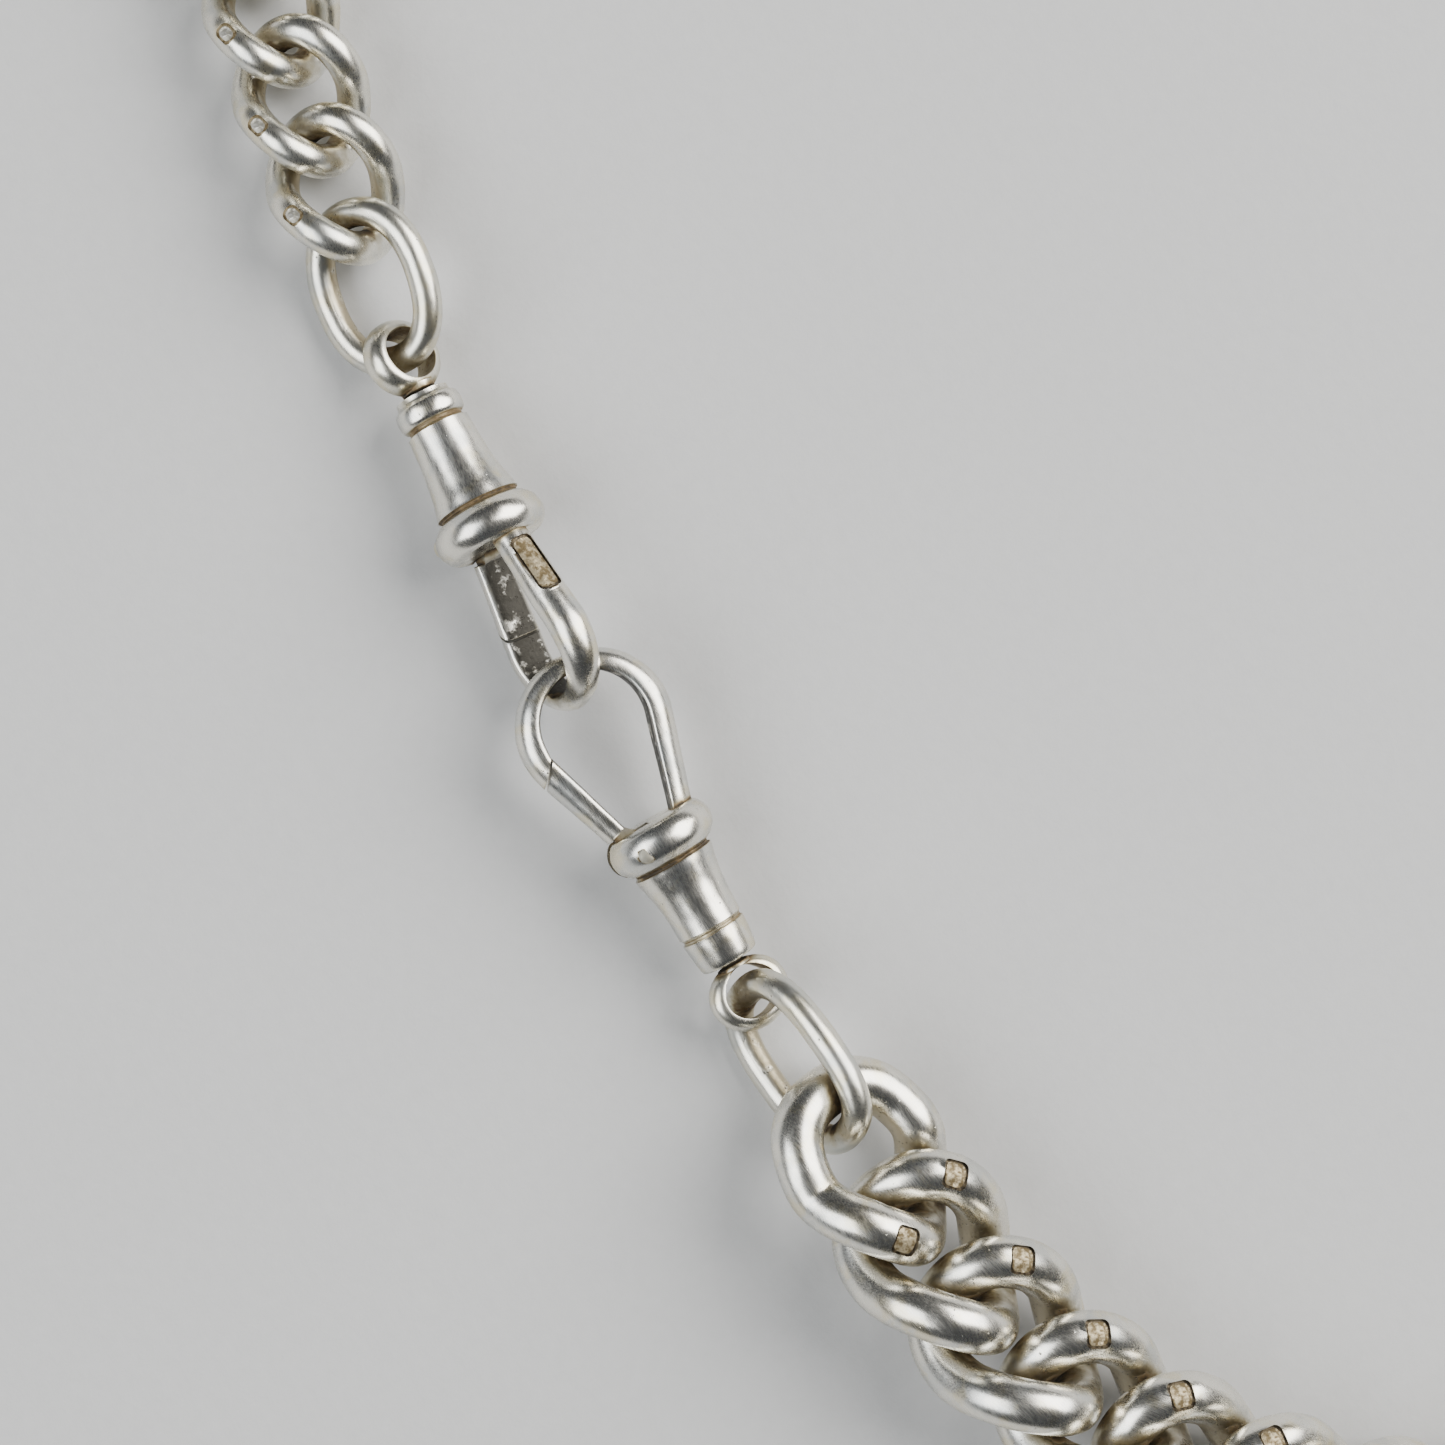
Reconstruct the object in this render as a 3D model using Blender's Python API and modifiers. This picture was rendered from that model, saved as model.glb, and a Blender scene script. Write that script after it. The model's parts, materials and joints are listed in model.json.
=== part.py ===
"""Curb-link watch chain: two lengths of curb chain, one light and one heavy, joined by two swivel
dog clips that are hooked into each other. The heavy length ends in a T-bar and the light one in a
plain ring. The strand lies on a flat surface in an open U, as it would round a neck.

Sizes are in millimetres and turn into metres as the meshes are made. Every moving piece has its
origin on its joint, and is parented to the piece that carries it.
"""

import math
from typing import NamedTuple

import bmesh
import bpy
from mathutils import Matrix, Vector

MM = 0.001
PLAY = 0.26  # gap between two pieces that hang in each other

# ---------------------------------------------------------------- driving dimensions


class Link(NamedTuple):
    """A closed wire link. Half sizes are to the wire's centre line, twists are degrees at each end."""

    half_length: float
    half_width: float
    wire_radius: float
    twist_near: float = 0.0
    twist_far: float = 0.0
    roundness: float = 1.0


class Clip(NamedTuple):
    """A swivel dog clip, measured from the flat face of its bulb: the loop on one side, +x, and
    the barrel on the other, -x. Profiles are (distance behind the face, radius) pairs."""

    profile: tuple
    loop_centre: float
    loop_radius: float
    ring_half_length: float
    ring_half_width: float
    ring_band_width: float
    ring_neck: float  # share of its thickness that the ring has where it meets its stem
    scarf_at: float  # where the gate meets the hook, from the bulb's face


LIGHT_CURB = Link(4.60, 3.60, 1.22, 50.0, 50.0, 0.8)
HEAVY_CURB = Link(5.84, 4.65, 1.84, 50.0, 50.0, 0.8)
HEAVY_END_CURB = Link(5.84, 4.65, 1.84, 0.0, 50.0, 0.8)  # hardly twisted where it takes the oval
LIGHT_OVAL = Link(5.25, 3.86, 1.07, roundness=0.88)
HEAVY_OVAL = Link(5.95, 3.8, 1.08, roundness=0.76)
END_RING = Link(3.6, 3.6, 0.9)
JUMP_RING = Link(4.0, 4.0, 0.92)
TWIST_SPREAD = 0.8  # below 1, a curb's twist gathers at its middle

LIGHT_LINKS = 14
HEAVY_LINKS = 12

# roll of each piece about its own length, degrees; a positive roll lifts the outside of the U
LIGHT_ROLL = -2.0
HEAVY_ROLLS = (-23.0, -24.0, -22.0, -22.0, -22.0, -22.0, -22.0, -18.0, -14.0, -10.0, -7.0, -6.0)
LIGHT_OVAL_ROLL = 36.0
HEAVY_OVAL_ROLL = 58.0
END_RING_ROLL = -22.0
JUMP_RING_ROLL = 10.0
END_RING_HEIGHT = 2.2  # of its open side, where nothing hangs

# how far each piece turns from the one before it, from the clip outwards, degrees
LIGHT_BENDS = (7.0, -2.0, 2.5, 1.5, 4.0, 6.0, 7.0, 8.0, 8.0, 8.0, 8.0, 8.0, 7.0, 6.0, 4.0, 2.0)
HEAVY_BENDS = (4.0, 0.0, 4.5, 7.0, 8.0, 10.0, 10.0, 9.0, 8.5, 8.5, 8.0, 6.0, 4.0, 2.0)

LOWER_CLIP = Clip(
    profile=(
        (0.0, 0.0), (0.0, 3.3), (0.3, 3.55), (0.85, 3.85), (1.45, 3.92), (2.1, 3.76), (2.75, 3.22),
        (3.0, 2.8), (3.25, 2.92), (4.3, 2.72), (6.0, 2.46), (8.15, 2.38), (8.37, 2.22),
        (8.6, 2.36), (10.65, 2.15), (10.95, 1.95),
    ),
    loop_centre=7.5,
    loop_radius=4.55,
    ring_half_length=2.15,
    ring_half_width=2.5,
    ring_band_width=1.9,
    ring_neck=0.5,
    scarf_at=6.3,
)
UPPER_CLIP = Clip(
    profile=(
        (0.0, 0.0), (0.0, 3.3), (0.3, 3.58), (0.85, 3.9), (1.45, 3.97), (2.1, 3.78), (2.75, 3.22),
        (3.0, 2.88), (3.25, 3.02), (4.6, 2.72), (6.2, 2.46), (9.1, 2.28), (9.35, 2.0),
        (9.7, 2.25), (10.1, 2.39), (10.7, 2.39), (11.1, 2.17), (11.3, 1.95), (11.6, 1.95),
    ),
    loop_centre=7.6,
    loop_radius=4.05,
    ring_half_length=2.3,
    ring_half_width=2.5,
    ring_band_width=2.4,
    ring_neck=0.9,
    scarf_at=5.2,
)

# dog clip details that both clips share
LOOP_BASE_HALF = 2.4  # from the clip's axis to each limb's centre line at the bulb
LIMB_THICK = (1.75, 1.95, 1.5)  # in the loop's plane: at the bulb, midway, at the apex
LIMB_WIDE = (2.7, 3.0, 2.3)  # across the loop's plane
RING_THICK = 1.0
RING_RIM = 0.12
LIMB_RIM = 0.26
RING_STANDOFF = 0.15
RING_PLAY = 0.72  # of an oval link in a swivel ring
SCARF_SLOPE = 0.7
SCARF_GAP = 0.2
SCARF_RUN_UP = 0.8  # of plain band kept before the scarf
GATE_STATIONS = (3.8, 2.0, 0.35)  # from the bulb's face
TENON_DEPTH = 1.3
SOCKET_GAP = 0.1
SOCKET_REACH = 3.0  # how far its cutter runs out along the limb
OUTSIDE = 5.0  # beyond the bulb's surface, for cutters
BORE_RADIUS = 0.95
CAVITY_RADIUS = 1.8
CAVITY_FRONT = 1.9
NECK_LENGTH = 1.7  # of the bore that holds the swivel's stem
STEM_RADIUS = 0.8
STEM_HEAD_RADIUS = 1.45
STEM_HEAD_LENGTH = 0.6
STEM_CHAMFER = 0.3
STEM_ROOT = 0.15  # how far the stem runs into the ring's wall, past its centre line
PIN_AT = (-1.6, -1.6)
PIN_RADIUS = 0.6
PIN_HALF_LENGTH = 3.54
PIN_PLAY = 0.1
SLOT_HALF_WIDTH = 0.95
SLOT_DEPTH = 2.95
SLOT_FLOOR = 0.2  # from the clip's axis
TONGUE_HALF_WIDTH = 0.75
TONGUE_OUTLINE = (
    (0.9, -2.9), (0.9, -2.0), (0.25, -1.4), (-0.3, -0.75), (-2.5, -0.62), (-2.9, -0.85),
    (-2.9, -1.3), (-2.5, -1.3), (-2.3, -2.15), (-1.9, -2.6), (0.0, -2.8),
)
SPRING_THICK = 0.2
SPRING_WIDE = 1.0
SPRING_LENGTH = 5.4
SPRING_TIP = -2.68  # its free end, behind the bulb's face
SPRING_HEIGHT = -1.52
SPRING_ARCH = 0.1
SPRING_STEPS = 4

# how the clips lie
LOWER_CLIP_PITCH = 4.0
UPPER_CLIP_PITCH = 4.8
UPPER_CLIP_HEADING = -3.5
UPPER_CLIP_ROLL = 68.0
LOWER_RING_ROLL = -14.0
UPPER_RING_ROLL = -39.0
HOOK_TO_HOOK = 0.86  # gap between the inner faces of the two hooks

# T-bar
BAR_LENGTH = 38.0
BAR_PROFILE = (
    (0.0, 0.0), (0.0, 1.2), (0.35, 1.55), (1.2, 1.75), (2.0, 1.55), (2.6, 1.2), (3.2, 1.35),
    (9.0, 1.55), (15.5, 1.75), (16.2, 2.2), (19.0, 2.45),
)
BAR_EYE = Link(2.45, 2.45, 0.82)
BAR_EYE_OFFSET = 4.55  # from the bar's axis to the eye's centre
BAR_EYE_HEIGHT = 2.95

LINK_POINTS = 16
TURNED_STEPS = 20
SMALL_STEPS = 12
ARC_POINTS = 13
RING_SECTIONS = 16
EYE_POINTS = 14

# ---------------------------------------------------------------- scene and materials


def clear_scene():
    for found in list(bpy.data.objects):
        bpy.data.objects.remove(found, do_unlink=True)


def new_collection(name, hidden=False):
    made = bpy.data.collections.new(name)
    bpy.context.scene.collection.children.link(made)
    made.hide_render = hidden
    return made


def metal(name, colour, roughness):
    made = bpy.data.materials.new(name)
    made.use_nodes = True
    shader = made.node_tree.nodes["Principled BSDF"]
    shader.inputs["Base Color"].default_value = (*colour, 1.0)
    shader.inputs["Roughness"].default_value = roughness
    shader.inputs["Metallic"].default_value = 1.0
    return made


clear_scene()
PARTS = new_collection("pocket_watch_chain")
CUTTERS = new_collection("cutters", hidden=True)
METALS = {
    "light_link": metal("light_link_silver", (0.74, 0.72, 0.64), 0.30),
    "heavy_link": metal("heavy_link_silver", (0.76, 0.74, 0.67), 0.32),
    "ring": metal("ring_silver", (0.72, 0.69, 0.60), 0.34),
    "clip": metal("clip_silver", (0.78, 0.76, 0.69), 0.26),
    "pin": metal("pin_silver", (0.66, 0.64, 0.56), 0.36),
    "spring": metal("spring_steel", (0.42, 0.40, 0.37), 0.38),
}
WORLD = {}  # each object's place in the world, by name

# ---------------------------------------------------------------- making objects


def place(name, data, matrix, kind, parent=None):
    """A part that stands at matrix, carried by parent."""
    made = bpy.data.objects.new(name, data)
    PARTS.objects.link(made)
    if data is not None:
        data.materials.append(METALS[kind])
    WORLD[name] = matrix
    if parent:
        made.parent = bpy.data.objects[parent]
        made.matrix_parent_inverse = WORLD[parent].inverted()
    made.matrix_basis = matrix
    return made


def cutter(name, data, matrix, parent):
    made = bpy.data.objects.new(name, data)
    CUTTERS.objects.link(made)
    made.parent = bpy.data.objects[parent]
    made.matrix_parent_inverse = WORLD[parent].inverted()
    made.matrix_basis = matrix
    made.hide_render = True
    made.display_type = "WIRE"
    return made


def boolean(target, other, operation):
    made = target.modifiers.new(other.name, "BOOLEAN")
    made.operation = operation
    made.solver = "EXACT"
    made.object = other


def smooth(mesh, angle=40.0):
    mesh.shade_smooth()
    mesh.set_sharp_from_angle(angle=math.radians(angle))
    return mesh


def finish_bmesh(name, shape):
    bmesh.ops.recalc_face_normals(shape, faces=shape.faces)
    mesh = bpy.data.meshes.new(name)
    shape.to_mesh(mesh)
    shape.free()
    return smooth(mesh)


def loft(name, sections, ringed=False):
    """A solid through rows of points, one row for each section, capped unless it closes on itself."""
    shape = bmesh.new()
    rows = [[shape.verts.new(point * MM) for point in section] for section in sections]
    sides = len(rows[0])
    pairs = list(zip(rows, rows[1:]))
    if ringed:
        pairs.append((rows[-1], rows[0]))
    for near, far in pairs:
        for side in range(sides):
            after = (side + 1) % sides
            shape.faces.new((near[side], near[after], far[after], far[side]))
    if not ringed:
        shape.faces.new(rows[0])
        shape.faces.new(rows[-1])
    return finish_bmesh(name, shape)


def cylinder(name, radius, start, end, steps=SMALL_STEPS):
    """A cylinder along x from start to end."""
    shape = bmesh.new()
    turn = Matrix.Translation(((start + end) / 2 * MM, 0, 0)) @ Matrix.Rotation(math.pi / 2, 4, "Y")
    bmesh.ops.create_cone(
        shape, cap_ends=True, segments=steps, radius1=radius * MM, radius2=radius * MM,
        depth=abs(end - start) * MM, matrix=turn,
    )
    return finish_bmesh(name, shape)


def box(name, low, high):
    shape = bmesh.new()
    size = Vector(high) - Vector(low)
    middle = (Vector(high) + Vector(low)) / 2
    grow = Matrix.Translation(middle * MM) @ Matrix.Diagonal((*(size * MM), 1.0))
    bmesh.ops.create_cube(shape, size=1.0, matrix=grow)
    return finish_bmesh(name, shape)


def turned(target, profile, steps):
    """Gives target's mesh the profile, (along x, radius) pairs, and turns it about x."""
    mesh = target.data
    points = [(along * MM, 0.0, radius * MM) for along, radius in profile]
    edges = [(i, i + 1) for i in range(len(points) - 1)]
    mesh.from_pydata(points, edges, [])
    made = target.modifiers.new("turn", "SCREW")
    made.axis = "X"
    made.steps = steps
    made.render_steps = steps
    made.use_merge_vertices = True
    made.merge_threshold = 1e-6
    made.use_smooth_shade = True


def wire(name, points, radius):
    """Curve data for a closed wire through points."""
    curve = bpy.data.curves.new(name, "CURVE")
    curve.dimensions = "3D"
    spline = curve.splines.new("POLY")
    spline.points.add(len(points) - 1)
    for knot, point in zip(spline.points, points):
        knot.co = (*(point * MM), 1.0)
    spline.use_cyclic_u = True
    curve.bevel_depth = radius * MM
    curve.bevel_resolution = 2
    return curve


def wire_mesh(name, points, radius):
    """The same wire as a mesh, for a Boolean."""
    source = bpy.data.objects.new(name, wire(name, points, radius))
    bpy.context.scene.collection.objects.link(source)
    graph = bpy.context.evaluated_depsgraph_get()
    mesh = bpy.data.meshes.new_from_object(source.evaluated_get(graph))
    bpy.data.objects.remove(source, do_unlink=True)
    return smooth(mesh)


# ---------------------------------------------------------------- shapes


def frame(position, heading=0.0, pitch=0.0, roll=0.0):
    """Local x points along heading and up by pitch; roll turns the piece about it. Degrees."""
    turn = Matrix.Rotation(math.radians(heading), 4, "Z")
    lift = Matrix.Rotation(math.radians(-pitch), 4, "Y")
    spin = Matrix.Rotation(math.radians(roll), 4, "X")
    return Matrix.Translation(Vector(position) * MM) @ turn @ lift @ spin


def signed_power(value, power):
    return math.copysign(abs(value) ** power, value)


def link_point(link, angle):
    """A point on the link's centre line. Twisted, the line lies flat in a chain of its own kind."""
    along = signed_power(math.cos(angle), link.roundness)
    across = link.half_width * signed_power(math.sin(angle), link.roundness)
    twist = link.twist_far if along > 0 else link.twist_near
    turn = math.radians(twist) * signed_power(along, TWIST_SPREAD)
    return Vector((link.half_length * along, across * math.cos(turn), -across * math.sin(turn)))


def link_points(link, count=LINK_POINTS):
    return [link_point(link, 2 * math.pi * (i + 0.5) / count) for i in range(count)]


def rest_height(link, roll):
    """Height of the link's centre when its lowest point is on the surface."""
    turn = Matrix.Rotation(math.radians(roll), 3, "X")
    return link.wire_radius - min((turn @ point).z for point in link_points(link, 72))


def band_section(centre, outward, across, thick, wide, slope=None, rim=LIMB_RIM):
    """A D: flat with eased corners towards the inside, half round on the outside. rim is the share
    of its thickness where its sides are straight."""
    flat = 0.5 - rim / 2
    outline = [(-0.5, -flat), (-0.5, flat)]
    for angle in (90, 55, 20, -20, -55, -90):
        turn = math.radians(angle)
        outline.append((rim - 0.5 + (1 - rim) * math.cos(turn), 0.5 * math.sin(turn)))
    lean = slope or Vector((0, 0, 0))
    return [centre + (outward + lean) * (out * thick) + across * (side * wide) for out, side in outline]


def blend_three(values, share):
    """From the first value through the second to the third as share goes from 0 to 1."""
    first, middle, last = values
    low, high, part = (first, middle, share * 2) if share < 0.5 else (middle, last, share * 2 - 1)
    ease = part * part * (3 - 2 * part)
    return low + (high - low) * ease


class LoopLine:
    """The centre line of a clip's loop: two straight limbs, tangent to an arc round the apex.
    A station is the distance along it from the bulb on the hook's side."""

    def __init__(self, clip):
        self.centre = clip.loop_centre
        self.radius = clip.loop_radius
        reach = math.hypot(self.centre, LOOP_BASE_HALF)
        self.lean = math.asin(self.radius / reach) - math.atan2(LOOP_BASE_HALF, self.centre)
        self.limb = math.sqrt(reach**2 - self.radius**2)
        self.sweep = math.pi + 2 * self.lean
        self.length = 2 * self.limb + self.radius * self.sweep
        self.scarf = self.gate_station(clip.scarf_at)

    def at(self, station):
        """(point, direction, outward) at a station. Stations past either end run on straight."""
        mirrored = station > self.length / 2
        s = self.length - station if mirrored else station
        if s < self.limb:
            point = Vector((s * math.cos(self.lean), LOOP_BASE_HALF + s * math.sin(self.lean), 0))
            along = Vector((math.cos(self.lean), math.sin(self.lean), 0))
        else:
            turn = math.pi / 2 + self.lean - (s - self.limb) / self.radius
            point = Vector((self.centre + self.radius * math.cos(turn), self.radius * math.sin(turn), 0))
            along = Vector((math.sin(turn), -math.cos(turn), 0))
        outward = Vector((-along.y, along.x, 0))
        if mirrored:
            point.y = -point.y
            along = Vector((-along.x, along.y, 0))
            outward.y = -outward.y
        return point, along, outward

    def section(self, station, grow=0.0, slope=0.0):
        point, along, outward = self.at(station)
        share = 1 - abs(station / self.length * 2 - 1)
        share = min(max(share, 0.0), 1.0)
        thick = blend_three(LIMB_THICK, share) + grow
        wide = blend_three(LIMB_WIDE, share) + grow
        return band_section(point, outward, Vector((0, 0, 1)), thick, wide, along * slope)

    def gate_station(self, distance):
        """The station on the gate's straight limb that lies this far from the bulb's face."""
        return self.length - distance / math.cos(self.lean)


def loop_band(name, line, start, end, slope_end=0.0, grow=0.0):
    """The loop's band from one station to another, its far end cut on a slope."""
    stations = [start, line.limb * 0.5]
    stations += [line.limb + line.radius * line.sweep * i / (ARC_POINTS - 1) for i in range(ARC_POINTS)]
    stations = [s for s in stations if start <= s < end - SCARF_RUN_UP]
    sections = [line.section(s, grow) for s in stations]
    sections.append(line.section(end, grow, slope_end))
    return loft(name, sections)


def gate_band(name, line):
    """The gate's limb, from its sloped tip down to just clear of the bulb."""
    sections = [line.section(line.scarf + SCARF_GAP, 0.0, SCARF_SLOPE)]
    sections += [line.section(line.gate_station(at)) for at in GATE_STATIONS]
    return loft(name, sections)


def tongue_curve(name):
    """The gate's flat tongue, which the pin passes through, as a filled outline with a hole."""
    hole = [
        (
            PIN_AT[0] + (PIN_RADIUS + PIN_PLAY) * math.cos(2 * math.pi * i / SMALL_STEPS),
            PIN_AT[1] + (PIN_RADIUS + PIN_PLAY) * math.sin(2 * math.pi * i / SMALL_STEPS),
        )
        for i in range(SMALL_STEPS)
    ]
    curve = bpy.data.curves.new(name, "CURVE")
    curve.dimensions = "2D"
    curve.fill_mode = "BOTH"
    curve.extrude = TONGUE_HALF_WIDTH * MM
    for points in (TONGUE_OUTLINE, hole):
        spline = curve.splines.new("POLY")
        spline.points.add(len(points) - 1)
        for knot, (x, y) in zip(spline.points, points):
            knot.co = (x * MM, y * MM, 0.0, 1.0)
        spline.use_cyclic_u = True
    return curve


def tongue_mesh(name):
    source = bpy.data.objects.new(name, tongue_curve(name))
    bpy.context.scene.collection.objects.link(source)
    graph = bpy.context.evaluated_depsgraph_get()
    mesh = bpy.data.meshes.new_from_object(source.evaluated_get(graph))
    bpy.data.objects.remove(source, do_unlink=True)
    shape = bmesh.new()
    shape.from_mesh(mesh)
    bmesh.ops.remove_doubles(shape, verts=shape.verts, dist=1e-6)
    shape.to_mesh(mesh)
    shape.free()
    return mesh


# ---------------------------------------------------------------- the clips


def make_barrel(name, clip, line, matrix, parent):
    """Bulb, barrel and collar in one turned shell, bored for the swivel and slotted for the gate."""
    back = clip.profile[-1][0]
    inside = (
        (back, BORE_RADIUS), (back - NECK_LENGTH, BORE_RADIUS), (back - NECK_LENGTH, CAVITY_RADIUS),
        (CAVITY_FRONT, CAVITY_RADIUS), (CAVITY_FRONT, 0.0),
    )
    shell = place(name, bpy.data.meshes.new(name), matrix, "clip", parent)
    turned(shell, [(-along, radius) for along, radius in clip.profile + inside], TURNED_STEPS)
    slot_low = (-SLOT_DEPTH, -OUTSIDE, -SLOT_HALF_WIDTH)
    slot = box(name + "_slot", slot_low, (OUTSIDE, -SLOT_FLOOR, SLOT_HALF_WIDTH))
    boolean(shell, cutter(name + "_slot", slot, matrix, name), "DIFFERENCE")
    bottom = -TENON_DEPTH - SOCKET_GAP
    socket = loop_band(name + "_socket", line, bottom, SOCKET_REACH, grow=2 * SOCKET_GAP)
    boolean(shell, cutter(name + "_socket", socket, matrix, name), "DIFFERENCE")
    bore = cylinder(name + "_pin_bore", PIN_RADIUS + PIN_PLAY, -OUTSIDE, OUTSIDE)
    boolean(shell, cutter(name + "_pin_bore", bore, matrix @ pin_place(), name), "DIFFERENCE")


def pin_place():
    """From the clip's frame to the pin's, whose x runs along the pin."""
    return Matrix.Translation(Vector((*PIN_AT, 0)) * MM) @ Matrix.Rotation(-math.pi / 2, 4, "Y")


def make_gate(name, line, matrix, parent):
    """The sprung limb: a D-section band and the tongue that turns on the pin, its own origin."""
    to_pin = Matrix.Translation(Vector((*PIN_AT, 0)) * MM)
    band = gate_band(name, line)
    band.transform(to_pin.inverted())
    gate = place(name, band, matrix @ to_pin, "clip", parent)
    tongue = tongue_mesh(name + "_tongue")
    tongue.transform(to_pin.inverted())
    boolean(gate, cutter(name + "_tongue", tongue, matrix @ to_pin, name), "UNION")


def make_spring(name, matrix, parent):
    """A leaf along the barrel's inner wall, whose free end bears on the gate's tongue."""
    strip = bmesh.new()
    rows = []
    for i in range(SPRING_STEPS + 1):
        share = i / SPRING_STEPS
        height = SPRING_HEIGHT + SPRING_ARCH * math.sin(math.pi * share)
        along = SPRING_TIP - SPRING_LENGTH * (1 - share)
        rows.append([strip.verts.new(Vector((along, height, side)) * MM)
                     for side in (-SPRING_WIDE / 2, SPRING_WIDE / 2)])
    for near, far in zip(rows, rows[1:]):
        strip.faces.new((near[0], near[1], far[1], far[0]))
    leaf = place(name, finish_bmesh(name, strip), matrix, "spring", parent)
    thicken = leaf.modifiers.new("thickness", "SOLIDIFY")
    thicken.thickness = SPRING_THICK * MM
    thicken.offset = 0.0


def make_swivel_ring(name, clip, matrix, parent):
    """A flat-sided ring and its stem, whose head turns inside the barrel. Origin at its centre."""
    sections = []
    for i in range(RING_SECTIONS):
        turn = 2 * math.pi * (i + 0.5) / RING_SECTIONS
        outward = Vector((math.cos(turn) * clip.ring_half_width, math.sin(turn) * clip.ring_half_length, 0))
        centre = Vector((clip.ring_half_length * math.cos(turn), clip.ring_half_width * math.sin(turn), 0))
        thick = RING_THICK * (1 - (1 - clip.ring_neck) * max(0.0, math.cos(turn)) ** 4)
        sections.append(band_section(
            centre, outward.normalized(), Vector((0, 0, 1)), thick, clip.ring_band_width, rim=RING_RIM
        ))
    ring = place(name, loft(name, sections, ringed=True), matrix, "ring", parent)
    back = clip.profile[-1][0]
    head_end = ring_offset(clip) - back + NECK_LENGTH + RING_STANDOFF + STEM_HEAD_LENGTH
    stem_start = clip.ring_half_length - STEM_ROOT
    stem = cutter(name + "_stem", bpy.data.meshes.new(name + "_stem"), matrix, name)
    turned(stem, (
        (head_end, 0.0), (head_end, STEM_HEAD_RADIUS - STEM_CHAMFER),
        (head_end - STEM_CHAMFER, STEM_HEAD_RADIUS), (head_end - STEM_HEAD_LENGTH, STEM_HEAD_RADIUS),
        (head_end - STEM_HEAD_LENGTH, STEM_RADIUS), (stem_start, STEM_RADIUS), (stem_start, 0.0),
    ), SMALL_STEPS)
    boolean(ring, stem, "UNION")


def ring_offset(clip):
    """Distance from the bulb's face back to the swivel ring's centre."""
    wall = RING_THICK * clip.ring_neck
    return clip.profile[-1][0] + RING_STANDOFF + clip.ring_half_length + wall / 2


def hang_offset(clip):
    """Distance from the bulb's face back to where an oval link hangs in the swivel ring."""
    return ring_offset(clip) + clip.ring_half_length - RING_THICK / 2 - RING_PLAY + PLAY / 2


def make_clip(name, clip, matrix, ring_roll, parent):
    """All six pieces of a dog clip. ring_roll turns the swivel ring about the clip's axis."""
    line = LoopLine(clip)
    make_barrel(name + "_barrel", clip, line, matrix, parent)
    barrel = name + "_barrel"
    hook = loop_band(name + "_hook", line, -TENON_DEPTH, line.scarf, SCARF_SLOPE)
    place(name + "_hook", hook, matrix, "clip", barrel)
    make_gate(name + "_gate", line, matrix, barrel)
    pin = cylinder(name + "_gate_pin", PIN_RADIUS, -PIN_HALF_LENGTH, PIN_HALF_LENGTH)
    place(name + "_gate_pin", pin, matrix @ pin_place(), "pin", barrel)
    make_spring(name + "_gate_spring", matrix, barrel)
    back = Matrix.Translation((-ring_offset(clip) * MM, 0, 0))
    spin = Matrix.Rotation(math.radians(ring_roll), 4, "X")
    make_swivel_ring(name + "_swivel_ring", clip, matrix @ back @ spin, barrel)


# ---------------------------------------------------------------- the strand


def reach(link):
    """From a link's centre to the middle of the gap to its neighbour."""
    return link.half_length - link.wire_radius - PLAY / 2


def lay(start, heading, bends, links, rolls, side, end_height):
    """Frames of pieces laid end to end from start, each turned by its bend from the one before.
    side is 1 where the strand turns left and -1 where it turns right. Each piece sits halfway
    between its two joints, and a joint is as high as the higher of its pieces rests. A frame's
    own origin is the joint nearer the clips."""
    heights = [rest_height(link, roll * side) for link, roll in zip(links, rolls)]
    heights.append(end_height)
    here = Vector(start)
    frames = []
    for i, (link, bend, roll) in enumerate(zip(links, bends, rolls)):
        heading += bend * side
        after = max(heights[i : i + 2])
        pitch = math.degrees(math.asin((after - here.z) / (2 * reach(link))))
        made = frame(here, heading, pitch, roll * side)
        frames.append(made)
        here = made @ Vector((2 * reach(link) * MM, 0, 0)) / MM
    return frames, here, heading


def place_links(names, links, frames, kinds, parent):
    for name, link, matrix, kind in zip(names, links, frames, kinds):
        shift = Vector((reach(link), 0, 0))
        points = [point + shift for point in link_points(link)]
        place(name, wire(name, points, link.wire_radius), matrix, kind, parent)
        parent = name


def make_t_bar(name, start, heading, parent):
    """A turned bar with a fixed eye, carried by an empty where the eye hangs in the jump ring."""
    half = [(along - BAR_LENGTH / 2, radius) for along, radius in BAR_PROFILE]
    profile = half + [(-along, radius) for along, radius in reversed(half[:-1])]
    matrix = frame(start, heading)
    place(name + "_pivot", None, matrix, None, parent)
    eye_at = Matrix.Translation(Vector((reach(BAR_EYE), 0, 0)) * MM)
    upright = Matrix.Rotation(math.pi / 2, 4, "X")
    eye = wire_mesh(name + "_eye", link_points(BAR_EYE, EYE_POINTS), BAR_EYE.wire_radius)
    eye.transform(eye_at @ upright)
    drop = BAR_PROFILE[-1][1] - start.z
    bar_at = Matrix.Translation(Vector((reach(BAR_EYE) + BAR_EYE_OFFSET, 0, drop)) * MM)
    crosswise = Matrix.Rotation(math.pi / 2, 4, "Z")
    bar = place(name, bpy.data.meshes.new(name), matrix @ bar_at @ crosswise, "clip", name + "_pivot")
    turned(bar, profile[::-1], TURNED_STEPS)
    boolean(bar, cutter(name + "_eye", eye, matrix, name), "UNION")


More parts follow.
